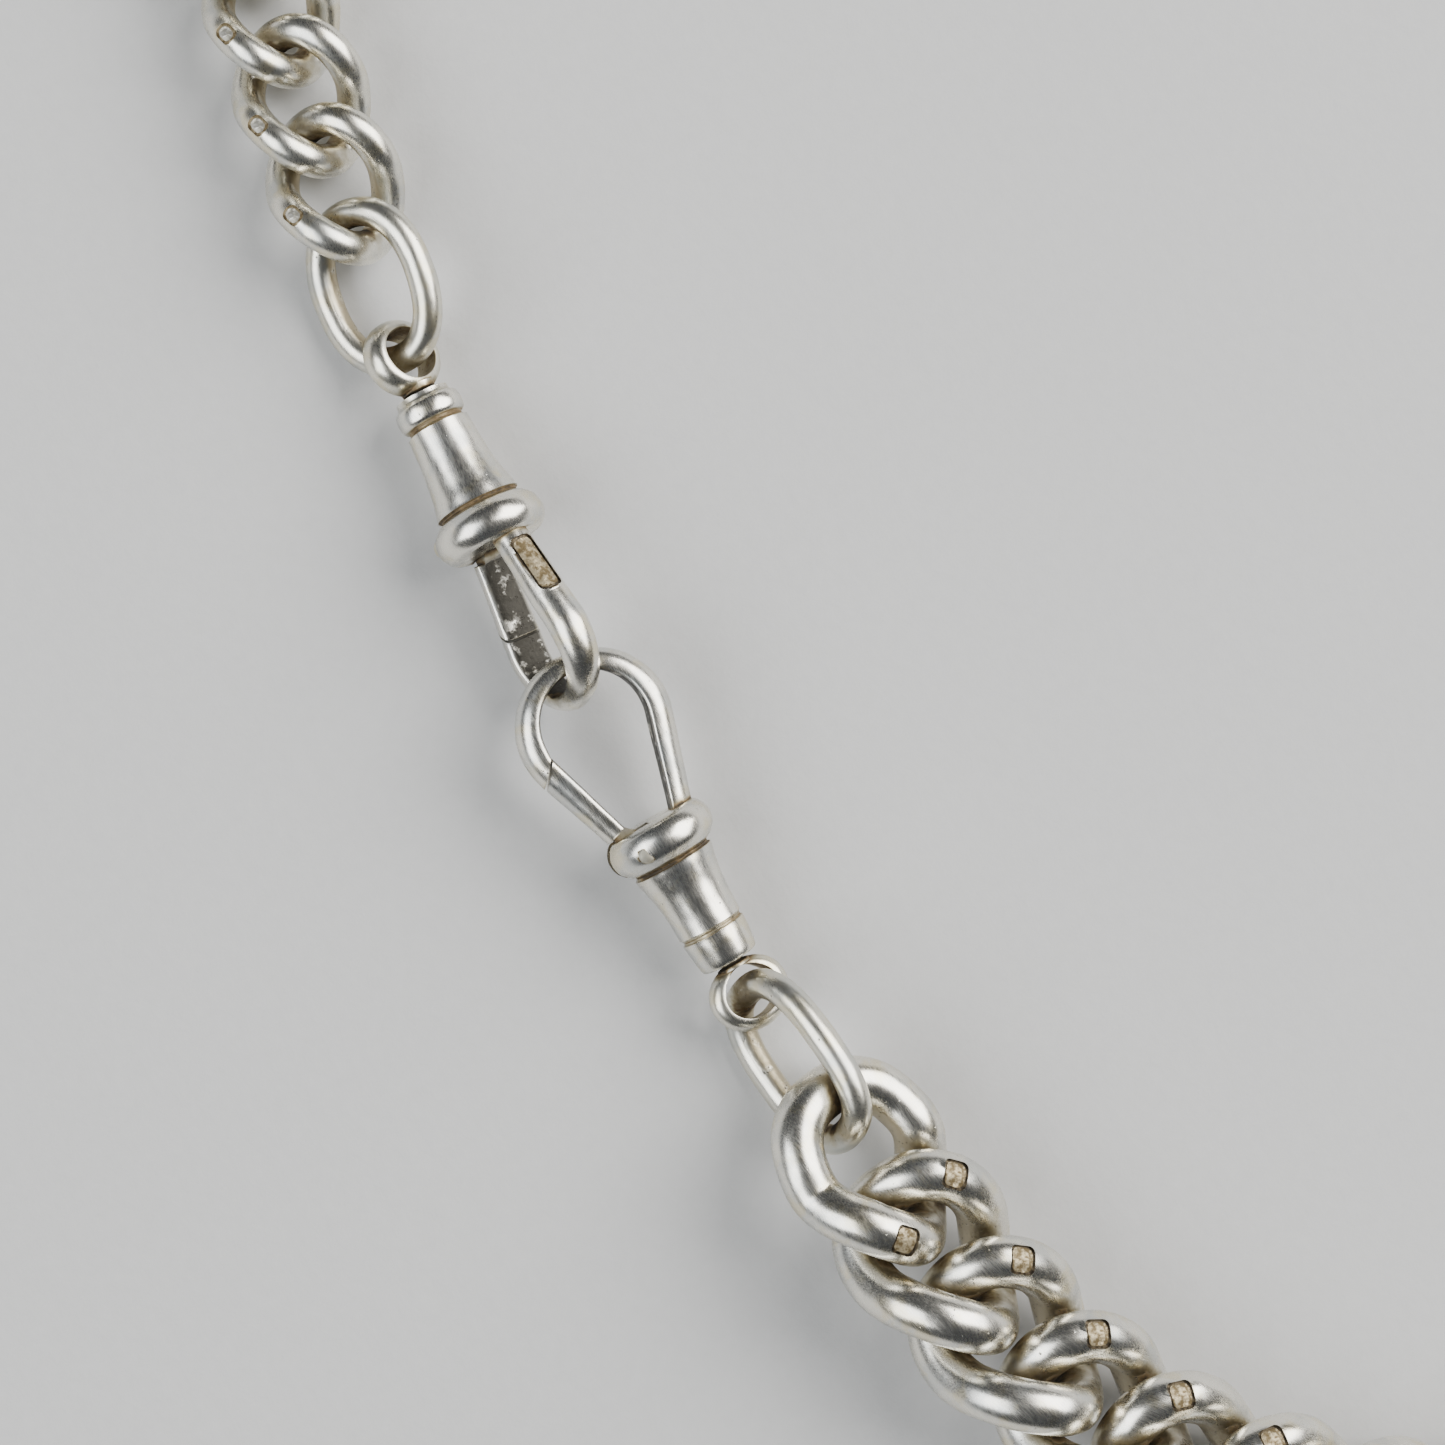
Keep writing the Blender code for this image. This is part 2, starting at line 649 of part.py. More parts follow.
def settle(root):
    """Stands the strand on z = 0 with the middle of its footprint at the origin."""
    bpy.context.view_layer.update()
    graph = bpy.context.evaluated_depsgraph_get()
    corners = []
    for found in PARTS.objects:
        if found.type == "EMPTY":
            continue
        ready = found.evaluated_get(graph)
        mesh = ready.to_mesh()
        corners += [ready.matrix_world @ vertex.co for vertex in mesh.vertices]
        ready.to_mesh_clear()
    low = Vector([min(corner[i] for corner in corners) for i in range(3)])
    high = Vector([max(corner[i] for corner in corners) for i in range(3)])
    root.location = (-(low.x + high.x) / 2, -(low.y + high.y) / 2, -low.z)


def numbered(stem, count):
    return [f"{stem}_{i + 1:02d}" for i in range(count)]


def build():
    root = place("strand", None, Matrix(), None)
    lower_line = LoopLine(LOWER_CLIP)
    upper_line = LoopLine(UPPER_CLIP)
    lower_apex = lower_line.centre + lower_line.radius
    upper_apex = upper_line.centre + upper_line.radius

    lean = math.radians(LOWER_CLIP_PITCH)
    bulb_at, bulb_radius = max(LOWER_CLIP.profile, key=lambda pair: pair[1])
    face_height = bulb_radius / math.cos(lean) + bulb_at * math.sin(lean)
    lower = frame((0, 0, face_height), 180.0, LOWER_CLIP_PITCH, 180.0)
    make_clip("lower_clip", LOWER_CLIP, lower, -LOWER_RING_ROLL, "strand")

    # the upper clip's hook passes through the lower one's, apex to apex
    apex = (lower @ Vector((lower_apex * MM, 0, 0))) / MM
    spread = LIMB_THICK[2] + HOOK_TO_HOOK
    upper_turn = frame((0, 0, 0), UPPER_CLIP_HEADING, UPPER_CLIP_PITCH, UPPER_CLIP_ROLL)
    meet = Vector((apex.x + spread, apex.y, apex.z))
    upper = Matrix.Translation((meet * MM) - (upper_turn @ Vector((upper_apex * MM, 0, 0)))) @ upper_turn
    arc_centre = lower @ Matrix.Translation((lower_line.centre * MM, 0, 0))
    place("upper_clip_pivot", None, arc_centre, None, "lower_clip_barrel")
    make_clip("upper_clip", UPPER_CLIP, upper, UPPER_RING_ROLL - UPPER_CLIP_ROLL, "upper_clip_pivot")

    # heavy length, from the lower clip
    eye = lower @ Matrix.Translation((-hang_offset(LOWER_CLIP) * MM, 0, 0))
    names = ["heavy_oval_link", *numbered("heavy_link", HEAVY_LINKS), "t_bar_jump_ring"]
    links = [HEAVY_OVAL, HEAVY_END_CURB] + [HEAVY_CURB] * (HEAVY_LINKS - 1) + [JUMP_RING]
    rolls = [HEAVY_OVAL_ROLL, *HEAVY_ROLLS, JUMP_RING_ROLL]
    kinds = ["ring"] + ["heavy_link"] * HEAVY_LINKS + ["ring"]
    start = eye.translation / MM
    frames, end, heading = lay(start, 0.0, HEAVY_BENDS, links, rolls, 1, BAR_EYE_HEIGHT)
    place_links(names, links, frames, kinds, "lower_clip_swivel_ring")
    make_t_bar("t_bar", end, heading, "t_bar_jump_ring")

    # light length, from the upper clip
    eye = upper @ Matrix.Translation((-hang_offset(UPPER_CLIP) * MM, 0, 0))
    names = ["light_oval_link", *numbered("light_link", LIGHT_LINKS), "end_ring"]
    links = [LIGHT_OVAL] + [LIGHT_CURB] * LIGHT_LINKS + [END_RING]
    rolls = [LIGHT_OVAL_ROLL] + [LIGHT_ROLL] * LIGHT_LINKS + [END_RING_ROLL]
    kinds = ["ring"] + ["light_link"] * LIGHT_LINKS + ["ring"]
    heading = 180.0 + UPPER_CLIP_HEADING
    frames, end, heading = lay(eye.translation / MM, heading, LIGHT_BENDS, links, rolls, -1, END_RING_HEIGHT)
    place_links(names, links, frames, kinds, "upper_clip_swivel_ring")
    settle(root)


build()
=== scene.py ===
"""The look of the pocket watch chain: worn silver curb links, two dog clips hooked together, and a T-bar,
lying on a pale surface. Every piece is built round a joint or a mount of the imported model.

Shapes are in millimetres and turn into metres as their meshes are made.
"""

import json
import math
from typing import NamedTuple

import bmesh
import bpy
from mathutils import Matrix, Vector, noise
from mathutils.bvhtree import BVHTree


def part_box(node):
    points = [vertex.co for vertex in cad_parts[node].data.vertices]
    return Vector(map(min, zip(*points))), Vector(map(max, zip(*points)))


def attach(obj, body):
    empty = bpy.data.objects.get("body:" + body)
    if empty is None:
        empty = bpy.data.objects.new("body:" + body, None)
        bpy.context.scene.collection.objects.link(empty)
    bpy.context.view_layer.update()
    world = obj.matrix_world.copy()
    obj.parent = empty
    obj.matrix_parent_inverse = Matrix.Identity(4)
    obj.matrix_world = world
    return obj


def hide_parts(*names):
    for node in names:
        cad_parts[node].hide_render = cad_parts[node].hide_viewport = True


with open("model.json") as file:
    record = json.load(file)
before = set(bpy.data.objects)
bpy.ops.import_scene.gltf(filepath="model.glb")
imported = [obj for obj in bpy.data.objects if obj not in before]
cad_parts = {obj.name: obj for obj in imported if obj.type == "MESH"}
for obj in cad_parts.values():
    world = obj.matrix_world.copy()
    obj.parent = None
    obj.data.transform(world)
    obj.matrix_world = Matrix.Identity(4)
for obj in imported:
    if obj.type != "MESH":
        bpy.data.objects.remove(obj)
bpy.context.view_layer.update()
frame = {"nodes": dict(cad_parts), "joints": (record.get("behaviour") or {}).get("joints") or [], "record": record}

MM = 0.001

# ---------------------------------------------------------------- sizes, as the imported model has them


class Link(NamedTuple):
    """A closed wire link. Half sizes are to the wire's centre line, twists are degrees at each end."""

    half_length: float
    half_width: float
    wire_radius: float
    twist_near: float = 0.0
    twist_far: float = 0.0
    roundness: float = 1.0


class Clip(NamedTuple):
    """A swivel dog clip. Its profile is (distance behind the bulb's face, radius) runs, smooth inside
    each run and crisp between runs."""

    runs: tuple
    loop_centre: float
    loop_radius: float
    ring_half_length: float
    ring_half_width: float
    ring_band_width: float
    ring_neck: float
    ring_roll: float
    scarf_at: float


LIGHT_CURB = Link(4.60, 3.60, 1.22, 50.0, 50.0, 0.8)
HEAVY_CURB = Link(5.84, 4.65, 1.84, 50.0, 50.0, 0.8)
HEAVY_END_CURB = Link(5.84, 4.65, 1.84, 0.0, 50.0, 0.8)
LIGHT_OVAL = Link(5.25, 3.86, 1.07, roundness=0.88)
HEAVY_OVAL = Link(5.95, 3.8, 1.08, roundness=0.76)
END_RING = Link(3.6, 3.6, 0.9)
JUMP_RING = Link(4.0, 4.0, 0.92)
BAR_EYE = Link(2.45, 2.45, 0.82)
TWIST_SPREAD = 0.8
TWIST_BLEND = 0.45  # share of a link's half length over which one end's twist gives way to the other's

LIGHT_LINKS = 14
HEAVY_LINKS = 12
LIGHT_ROLL = 2.0
HEAVY_ROLLS = (-23.0, -24.0, -22.0, -22.0, -22.0, -22.0, -22.0, -18.0, -14.0, -10.0, -7.0, -6.0)
LIGHT_OVAL_ROLL = -36.0
HEAVY_OVAL_ROLL = 58.0
END_RING_ROLL = 22.0
JUMP_RING_ROLL = 10.0

LOWER_CLIP = Clip(
    runs=(
        ((0.0, 0.0), (0.0, 3.12)),
        ((0.05, 3.26), (0.3, 3.55), (0.85, 3.85), (1.45, 3.92), (2.1, 3.76), (2.7, 3.27)),
        ((2.76, 3.1), (2.95, 2.78), (3.1, 2.8)),
        ((3.16, 2.95), (3.6, 2.88), (4.4, 2.7), (5.4, 2.52), (6.8, 2.4), (8.15, 2.38)),
        ((8.24, 2.28), (8.38, 2.2), (8.5, 2.23)),
        ((8.58, 2.36), (9.3, 2.32), (10.1, 2.23), (10.6, 2.16), (10.86, 2.06), (10.95, 1.9)),
    ),
    loop_centre=7.5,
    loop_radius=4.55,
    ring_half_length=2.15,
    ring_half_width=2.5,
    ring_band_width=1.9,
    ring_neck=0.5,
    ring_roll=14.0,
    scarf_at=6.3,
)
UPPER_CLIP = Clip(
    runs=(
        ((0.0, 0.0), (0.0, 3.12)),
        ((0.05, 3.26), (0.3, 3.58), (0.85, 3.9), (1.45, 3.97), (2.1, 3.78), (2.7, 3.28)),
        ((2.76, 3.14), (2.95, 2.86), (3.1, 2.9)),
        ((3.16, 3.05), (3.8, 2.92), (4.7, 2.7), (6.2, 2.46), (7.7, 2.34), (9.1, 2.28)),
        ((9.18, 2.12), (9.34, 1.99), (9.5, 2.03)),
        ((9.6, 2.22), (9.85, 2.36), (10.4, 2.42), (10.85, 2.34), (11.05, 2.18)),
        ((11.16, 2.0), (11.3, 1.95), (11.6, 1.93)),
    ),
    loop_centre=7.6,
    loop_radius=4.05,
    ring_half_length=2.3,
    ring_half_width=2.5,
    ring_band_width=2.4,
    ring_neck=0.9,
    ring_roll=-107.0,
    scarf_at=5.2,
)
LOOP_BASE_HALF = 2.4
LIMB_THICK = (1.75, 1.95, 1.5)  # at the bulb, midway, at the apex
LIMB_WIDE = (2.7, 3.0, 2.3)
RING_THICK = 1.0
RING_RIM = 0.12  # share of a ring's thickness where its sides are straight
LIMB_RIM = 0.26
RING_STANDOFF = 0.15
SCARF_SLOPE = 0.7
SCARF_GAP = 0.16
SLOPE_RUN = 1.6  # length of band over which it eases into the scarf
GATE_ROOT = 0.3  # where the gate's limb ends, in front of the bulb's face
TENON_DEPTH = 1.2
BORE_RADIUS = 0.95
CAVITY_RADIUS = 1.8
CAVITY_FRONT = 1.9
NECK_LENGTH = 1.7
STEM_RADIUS = 0.8
STEM_FILLET = 0.12
STEM_FLARE = (1.5, 1.6)  # how much wider the stem is where it meets the ring, outside and inside
STEM_HEAD_RADIUS = 1.45
STEM_HEAD_LENGTH = 0.6
PIN_AT = (-1.6, -1.6)
PIN_RADIUS = 0.62
PIN_HALF_LENGTH = 3.62
PIN_DOME = ((0.0, 0.0), (0.02, 0.3), (0.07, 0.5), (0.2, PIN_RADIUS))  # (in from the end, radius)
SLOT_HALF_WIDTH = 0.9
SLOT_DEPTH = 2.95
SLOT_FLOOR = 0.2  # from the clip's axis
OUTSIDE = 6.0  # past the bulb's side
TONGUE_HALF_WIDTH = 0.75
TONGUE_OUTLINE = (
    (0.9, -2.9), (0.9, -2.0), (0.25, -1.4), (-0.3, -0.75), (-2.5, -0.62), (-2.9, -0.85),
    (-2.9, -1.3), (-2.5, -1.3), (-2.3, -2.15), (-1.9, -2.6), (0.0, -2.8),
)
BAR_HALF = 19.0
BAR_RUNS = (
    ((0.0, 0.0), (0.0, 1.05)),
    ((0.1, 1.2), (0.35, 1.5), (1.2, 1.75), (2.0, 1.55), (2.55, 1.22)),
    ((2.65, 1.15), (2.8, 1.15)),
    ((2.9, 1.3), (9.0, 1.55), (15.4, 1.75)),
    ((15.55, 1.95), (16.2, 2.2), (17.6, 2.4), (19.0, 2.45)),
)
EYE_FROM_BAR = 4.55

# ---------------------------------------------------------------- how finely pieces are made

FINE_STEPS = 900  # of a link's line before its points are spaced evenly
LINK_STEPS = 128
LINK_SIDES = 32
SMOOTHING = 9  # passes along a link's line
WIRE_FIT = 0.985  # sizes are taken in this much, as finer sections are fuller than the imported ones
BAND_FIT = 0.965
BAND_STEPS = 90
BAND_SIDES = 36
TURNED_STEPS = 96
RUN_STEPS = 6
CREASE = 38.0  # degrees between faces from which their edge is left sharp
TURNED_CREASE = 30.0
HOLLOW = 0.5  # power that squares off the flat side of a D section
DENT_DEPTH = 0.035
DENT_SIZE = 2.6
FINE_DENT_SIZE = 0.91
FINE_DENT_SHARE = 0.3
DENT_LEVEL = 0.9  # how far in the surface lies on average, in dents' depths
DENT_SHIFT = Vector((7.3, 3.1, 5.7))  # from one piece's dents to the next's
LINK_SPINE = 2.0  # half the stretch of a link's length that its inner faces look at
LOOP_SPINE = 2.0  # where that stretch starts in a clip's loop
INSIDE_START = 0.55  # how squarely a face looks at the spine before it counts as inner, a cosine
INSIDE_GAIN = 3.5
SHELTER_REACH = 2.4  # how far away another surface still shelters a point
SHELTER_RAYS = 14
SHELTER_GAIN = 1.6
RAY_LIFT = 0.02

# ---------------------------------------------------------------- punches, all blank

PUNCH_HEIGHT = 2.0  # of the block that cuts a punch
PUNCH_DEPTH = 0.22
PAD_DEPTH = 0.13  # of the raised middle of a punch
WORN_DEPTH = 0.08
HEAVY_PUNCH_SIZE = (1.75, 1.95)
LIGHT_PUNCH_SIZE = (1.5, 1.15)
MAKER_PUNCH = (4.3, 1.7)
MAKER_PUNCH_FROM_BULB = 0.6
OUTLINE = 0.14  # width of the dark line round the middle, painted shade in the punch's groove
CORNER = 0.4

# ---------------------------------------------------------------- materials


class Graph:
    """A material's node tree, with short ways to add and join nodes."""

    def __init__(self, name):
        self.material = bpy.data.materials.new(name)
        self.material.use_nodes = True
        self.tree = self.material.node_tree
        self.shader = self.tree.nodes["Principled BSDF"]

    def add(self, kind, inputs=None, **settings):
        node = self.tree.nodes.new(kind)
        for key, value in settings.items():
            setattr(node, key, value)
        for key, value in (inputs or {}).items():
            self.put(value, node.inputs[key])
        return node

    def put(self, value, socket):
        if isinstance(value, bpy.types.NodeSocket):
            self.tree.links.new(value, socket)
        else:
            socket.default_value = value

    def noise(self, vector, scale, detail=3.0, roughness=0.55):
        inputs = {"Vector": vector, "Scale": scale, "Detail": detail, "Roughness": roughness}
        return self.add("ShaderNodeTexNoise", inputs).outputs["Fac"]

    def math(self, operation, first, second=0.0, clamp=False):
        inputs = {0: first, 1: second}
        return self.add("ShaderNodeMath", inputs, operation=operation, use_clamp=clamp).outputs[0]

    def step(self, value, low, high, start=0.0, end=1.0):
        """A smooth rise from start to end as value goes from low to high."""
        inputs = {"Value": value, "From Min": low, "From Max": high, "To Min": start, "To Max": end}
        return self.add("ShaderNodeMapRange", inputs, interpolation_type="SMOOTHSTEP").outputs[0]

    def mix(self, share, first, second):
        node = self.add("ShaderNodeMix", data_type="RGBA")
        for socket, value in ((0, share), (6, first), (7, second)):
            self.put(value, node.inputs[socket])
        return node.outputs[2]

    def bump(self, height, distance, normal=None):
        inputs = {"Height": height, "Strength": 1.0, "Distance": distance}
        if normal is not None:
            inputs["Normal"] = normal
        return self.add("ShaderNodeBump", inputs).outputs[0]


def silver(name, clean, inner, dull, roughness, tarnish_and_shade, pitting):
    """Worn silver: clean on the high spots, yellow-brown tarnish where it is sheltered and painted shade, near
    black, in the most closed corners; pitted and scratched.
    inner is the dark colour painted on the faces round a hole as their shade, tinted brown like tarnish on the
    links, and dull how much rougher they are.
    A shelter of 1 is a closed corner. Noises are scaled per metre."""
    g = Graph(name)
    place = g.add("ShaderNodeTexCoord").outputs["Object"]
    shift = g.math("MULTIPLY", g.add("ShaderNodeObjectInfo").outputs["Random"], 3.7)
    place = g.add("ShaderNodeVectorMath", {0: place, 1: shift}, operation="ADD").outputs[0]
    shelter = g.add("ShaderNodeAttribute", attribute_name="shelter").outputs["Fac"]

    cloud = g.noise(place, 330.0, 4.0)
    blotch = g.noise(place, 1100.0, 5.0, 0.62)
    wave = g.noise(place, 600.0, 1.0)
    grain = g.noise(place, 9000.0, 3.0, 0.6)
    streaks = g.add("ShaderNodeMapping", {"Vector": place, "Scale": (900.0, 14000.0, 9000.0)}).outputs[0]
    scratch = g.noise(streaks, 1.0, 2.0)

    # sheltered points turn yellow-brown with tarnish; the last and darkest layer, in the most closed corners, is
    # painted shade
    soft = g.math("ADD", shelter, g.math("MULTIPLY", g.math("SUBTRACT", blotch, 0.5), 0.6))
    film = g.step(soft, 0.14, 0.52, 0.0, tarnish_and_shade)
    ochre = g.step(soft, 0.44, 0.66, 0.0, tarnish_and_shade)
    painted_corner_shade = g.step(soft, 0.60, 0.84, 0.0, tarnish_and_shade)
    inside = g.add("ShaderNodeAttribute", attribute_name="inside").outputs["Fac"]
    # painted shade on the faces round a hole, patchy with the blotch noise
    inner_face_shade = g.math("MULTIPLY", inside, g.step(blotch, 0.54, 0.68, 1.0, 0.35))
    cells = g.add("ShaderNodeTexVoronoi", {"Vector": place, "Scale": 2600.0, "Randomness": 1.0})
    speck = g.step(cells.outputs["Distance"], 0.10, 0.24, 1.0, 0.0)
    exposed = g.math("ADD", blotch, g.math("MULTIPLY", shelter, 0.25))
    field = g.step(g.math("ADD", exposed, g.math("MULTIPLY", inside, 0.2)), 0.60, 0.72)
    pits = g.math("MULTIPLY", g.math("MULTIPLY", speck, field), pitting)

    cool = g.step(cloud, 0.47, 0.64, 0.0, 0.75)
    colour = g.mix(cool, (*clean, 1.0), (clean[0] * 0.74, clean[1] * 0.78, clean[2] * 0.84, 1.0))
    warm = g.step(g.noise(place, 520.0, 3.0), 0.50, 0.68, 0.0, 0.7)
    colour = g.mix(warm, colour, (clean[0] * 0.96, clean[1] * 0.90, clean[2] * 0.72, 1.0))
    colour = g.mix(film, colour, (0.42, 0.37, 0.25, 1.0))
    # painted shade: the faces round a hole take the inner colour, brown like tarnish on the links, near black on
    # the clips
    colour = g.mix(inner_face_shade, colour, (*inner, 1.0))
    colour = g.mix(ochre, colour, (0.21, 0.145, 0.07, 1.0))
    # painted shade: near black where a point is most closed in, as in a tight groove
    colour = g.mix(painted_corner_shade, colour, (0.045, 0.034, 0.02, 1.0))
    colour = g.mix(pits, colour, (0.08, 0.07, 0.055, 1.0))
    g.put(colour, g.shader.inputs["Base Color"])

    uneven = g.math("ADD", scratch, g.math("MULTIPLY", cloud, 0.6))
    rough = g.step(uneven, 0.5, 1.1, roughness - 0.03, roughness + 0.08)
    rough = g.math("ADD", rough, g.math("MULTIPLY", film, 0.10))
    rough = g.math("ADD", rough, g.math("MULTIPLY", inner_face_shade, dull))
    rough = g.math("ADD", rough, g.math("MULTIPLY", ochre, 0.22), clamp=True)
    g.put(rough, g.shader.inputs["Roughness"])
    bare = g.step(g.math("ADD", ochre, pits), 0.1, 1.0, 1.0, 0.4)
    bare = g.math("SUBTRACT", bare, g.math("MULTIPLY", inner_face_shade, dull * 2), clamp=True)
    g.put(bare, g.shader.inputs["Metallic"])

    relief = g.bump(wave, 0.03 * MM)
    relief = g.bump(scratch, 0.0012 * MM, relief)
    relief = g.bump(grain, 0.001 * MM, relief)
    relief = g.bump(g.math("SUBTRACT", 1.0, pits), 0.05 * MM, relief)
    relief = g.bump(g.math("MULTIPLY", blotch, inner_face_shade), 0.08 * MM, relief)
    g.put(relief, g.shader.inputs["Normal"])
    return g.material


def punched_silver(name, low, high, metallic):
    """The rough metal inside a punch mark, from the darker colour to the paler."""
    g = Graph(name)
    place = g.add("ShaderNodeTexCoord").outputs["Object"]
    marks = g.noise(place, 2600.0, 3.0, 0.6)
    g.put(g.mix(g.step(marks, 0.40, 0.62), (*low, 1.0), (*high, 1.0)), g.shader.inputs["Base Color"])
    g.put(g.step(marks, 0.3, 0.7, 0.6, 0.4), g.shader.inputs["Roughness"])
    g.put(g.bump(marks, 0.08 * MM), g.shader.inputs["Normal"])
    g.shader.inputs["Metallic"].default_value = metallic
    return g.material


def pale_floor(name):
    g = Graph(name)
    place = g.add("ShaderNodeTexCoord").outputs["Object"]
    fleck = g.noise(place, 900.0, 5.0, 0.6)
    g.put(g.mix(fleck, (0.60, 0.60, 0.595, 1.0), (0.66, 0.66, 0.655, 1.0)), g.shader.inputs["Base Color"])
    g.put(g.bump(fleck, 0.05 * MM), g.shader.inputs["Normal"])
    g.shader.inputs["Roughness"].default_value = 0.8
    return g.material


FINISHES = {  # clean, inner (painted shade on the faces round a hole), dull, roughness, tarnish (with painted shade in the most closed corners) and pitting
    "light_link_silver": ((0.81, 0.78, 0.69), (0.50, 0.43, 0.29), 0.05, 0.27, 0.95, 0.7),
    "heavy_link_silver": ((0.81, 0.78, 0.70), (0.46, 0.40, 0.28), 0.05, 0.25, 0.95, 0.9),
    "ring_silver": ((0.79, 0.76, 0.66), (0.44, 0.38, 0.26), 0.08, 0.29, 1.0, 0.8),
    # the clips' inner colour is near black: painted shade on the faces inside the loop
    "clip_silver": ((0.82, 0.79, 0.71), (0.030, 0.027, 0.020), 0.22, 0.25, 1.0, 0.9),
    "pin_silver": ((0.66, 0.62, 0.50), (0.44, 0.38, 0.26), 0.05, 0.42, 1.0, 0.6),
    "spring_steel": ((0.42, 0.40, 0.37), (0.20, 0.19, 0.17), 0.05, 0.38, 1.0, 0.5),
}
METALS = {name: silver(name, *finish) for name, finish in FINISHES.items()}
# the near-black walls and floor of a deep punch are painted shade in the recess, over its tarnish
PUNCH_EDGE_SHADE = punched_silver("punch_edge", (0.07, 0.055, 0.035), (0.24, 0.19, 0.12), 0.4)
PUNCH_GROUND = punched_silver("punch_ground", (0.17, 0.125, 0.06), (0.50, 0.42, 0.27), 0.6)
PUNCH_WORN = punched_silver("punch_worn", (0.56, 0.53, 0.44), (0.76, 0.73, 0.65), 1.0)
DARK = (PUNCH_EDGE_SHADE, PUNCH_GROUND)
WORN = (PUNCH_GROUND, PUNCH_WORN)
DEEP = (PUNCH_DEPTH, PAD_DEPTH)
SHALLOW = (WORN_DEPTH, WORN_DEPTH / 2)


class Punch(NamedTuple):
    """A punch on a link: at along its length, on the lobe that is on the given side of it."""

    at: float
    lobe: int
    facing: tuple
    size: tuple
    depths: tuple
    finishes: tuple


HEAVY_PUNCH = Punch(-3.9, 1, (0.0, -0.15, 1.0), HEAVY_PUNCH_SIZE, DEEP, DARK)
FIRST_HEAVY_PUNCH = Punch(4.5, -1, (0.0, -0.5, 1.0), HEAVY_PUNCH_SIZE, DEEP, DARK)
LIGHT_PUNCH = Punch(-1.6, 1, (0.0, 0.3, 1.0), LIGHT_PUNCH_SIZE, SHALLOW, WORN)

# ---------------------------------------------------------------- meshes


def smooth(mesh, angle=CREASE):
    mesh.shade_smooth()
    mesh.set_sharp_from_angle(angle=math.radians(angle))
    return mesh


def skin(name, rings, closed=False):
    """A solid through rings of points in millimetres, capped unless it closes on itself."""
    shape = bmesh.new()
    rows = [[shape.verts.new(point * MM) for point in ring] for ring in rings]
    sides = len(rows[0])
    pairs = list(zip(rows, rows[1:]))
    if closed:
        pairs.append((rows[-1], rows[0]))
    for near, far in pairs:
        for side in range(sides):
            after = (side + 1) % sides
            shape.faces.new((near[side], near[after], far[after], far[side]))
    if not closed:
        shape.faces.new(rows[0])
        shape.faces.new(rows[-1])
    bmesh.ops.recalc_face_normals(shape, faces=shape.faces)
    mesh = bpy.data.meshes.new(name)
    shape.to_mesh(mesh)
    shape.free()
    return smooth(mesh)


def combined(mesh, other, operation):
    """mesh with other cut from it or joined to it."""
    base = bpy.data.objects.new("base", mesh)
    tool = bpy.data.objects.new("tool", other)
    for made in (base, tool):
        bpy.context.scene.collection.objects.link(made)
    step = base.modifiers.new("step", "BOOLEAN")
    step.operation = operation
    step.solver = "EXACT"
    step.object = tool
    step.material_mode = "TRANSFER"
    graph = bpy.context.evaluated_depsgraph_get()
    result = bpy.data.meshes.new_from_object(base.evaluated_get(graph))
    result.name = mesh.name
    for made in (base, tool):
        bpy.data.objects.remove(made, do_unlink=True)
    return smooth(result)


def signed_power(value, power):
    return math.copysign(abs(value) ** power, value)


def link_point(link, angle):
    along = signed_power(math.cos(angle), link.roundness)
    across = link.half_width * signed_power(math.sin(angle), link.roundness)
    share = min(max(along / TWIST_BLEND, -1.0), 1.0)
    share = 0.5 + share * (3 - share * share) / 4
    twist = link.twist_near + (link.twist_far - link.twist_near) * share
    turn = math.radians(twist) * signed_power(along, TWIST_SPREAD)
    return Vector((link.half_length * along, across * math.cos(turn), -across * math.sin(turn)))


def evenly(points, count):
    """The same closed line with count points spaced evenly along it."""
    ends = points[1:] + points[:1]
    lengths = [(far - near).length for near, far in zip(points, ends)]
    gap = sum(lengths) / count
    made, travelled, wanted = [], 0.0, 0.0
    for near, far, length in zip(points, ends, lengths):
        while wanted < travelled + length and len(made) < count:
            made.append(near.lerp(far, (wanted - travelled) / length))
            wanted += gap
        travelled += length
    return made


def link_line(link):
    fine = [link_point(link, 2 * math.pi * i / FINE_STEPS) for i in range(FINE_STEPS)]
    points = evenly(fine, LINK_STEPS)
    for _ in range(SMOOTHING):
        after = points[1:] + points[:1]
        before = points[-1:] + points[:-1]
        points = [(near + point * 2 + far) / 4 for near, point, far in zip(before, points, after)]
    return points


def link_mesh(name, link, inset=0.0):
    """Round wire bent into a link."""
    line = link_line(link)
    radius = link.wire_radius * WIRE_FIT - inset
    turns = [2 * math.pi * side / LINK_SIDES for side in range(LINK_SIDES)]
    rings = []
    for i, point in enumerate(line):
        along = (line[(i + 1) % LINK_STEPS] - line[i - 1]).normalized()
        outward = (point - along * point.dot(along)).normalized()
        sideways = along.cross(outward)
        round_wire = [outward * math.cos(turn) + sideways * math.sin(turn) for turn in turns]
        rings.append([point + offset * radius for offset in round_wire])
    return skin(name, rings, closed=True)


def punch_block(size, place):
    """A block with rounded upright corners, whose middle is at place's origin."""
    shape = bmesh.new()
    grow = Matrix.Diagonal([side * MM for side in (*size, PUNCH_HEIGHT)]).to_4x4()
    bmesh.ops.create_cube(shape, size=1.0, matrix=grow)
    upright = [edge for edge in shape.edges if abs(edge.verts[0].co.z - edge.verts[1].co.z) > MM]
    bmesh.ops.bevel(shape, geom=upright, offset=CORNER * MM, segments=4, profile=0.5, affect="EDGES")
    mesh = bpy.data.meshes.new("punch")
    shape.to_mesh(mesh)
    shape.free()
    mesh.transform(place)
    return mesh


